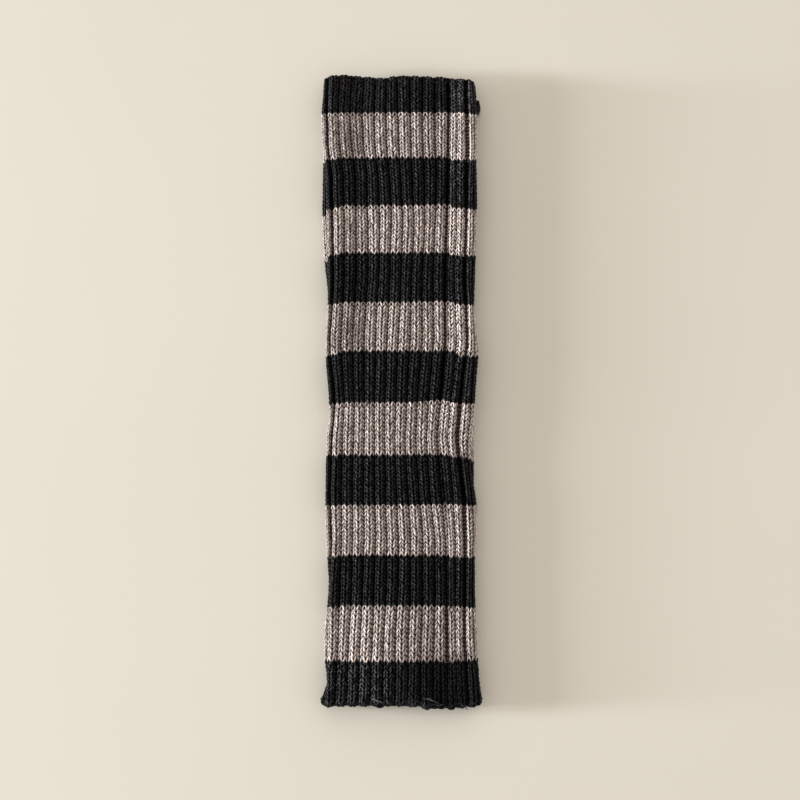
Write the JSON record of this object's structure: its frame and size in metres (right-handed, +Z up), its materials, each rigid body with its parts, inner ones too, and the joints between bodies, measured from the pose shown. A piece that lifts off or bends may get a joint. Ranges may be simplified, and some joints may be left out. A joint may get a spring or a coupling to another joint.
{
  "type": "pair of leg warmers",
  "caption": "Pair of chunky rib-knit leg warmers in wide black and taupe stripes: open seamed tubes pressed flat and laid one on the other",
  "frame": {"origin": "middle of the pair's box, on the surface it lies on", "axes": "+X across the tubes to the seam's side, +Y along them to the knee end, +Z up from the surface"},
  "size_m": [0.104, 0.4006, 0.0158],
  "materials": {
    "black_yarn": "matt brushed black yarn, knitted in two-by-two rib",
    "taupe_yarn": "matt heathered taupe yarn, knitted in two-by-two rib"
  },
  "bodies": {
    "root": {"lower_stripe_01_black": "black_yarn", "lower_stripe_02_taupe": "taupe_yarn", "lower_stripe_03_black": "black_yarn", "lower_stripe_04_taupe": "taupe_yarn", "lower_stripe_05_black": "black_yarn", "lower_stripe_06_taupe": "taupe_yarn", "lower_stripe_07_black": "black_yarn", "lower_stripe_08_taupe": "taupe_yarn", "lower_stripe_09_black": "black_yarn", "lower_stripe_10_taupe": "taupe_yarn", "lower_stripe_11_black": "black_yarn", "lower_stripe_12_taupe": "taupe_yarn", "lower_stripe_13_black": "black_yarn", "upper_stripe_01_black": "black_yarn", "upper_stripe_02_taupe": "taupe_yarn", "upper_stripe_03_black": "black_yarn", "upper_stripe_04_taupe": "taupe_yarn", "upper_stripe_05_black": "black_yarn", "upper_stripe_06_taupe": "taupe_yarn", "upper_stripe_07_black": "black_yarn", "upper_stripe_08_taupe": "taupe_yarn", "upper_stripe_09_black": "black_yarn", "upper_stripe_10_taupe": "taupe_yarn", "upper_stripe_11_black": "black_yarn", "upper_stripe_12_taupe": "taupe_yarn", "upper_stripe_13_black": "black_yarn"}
  },
  "joints": []
}
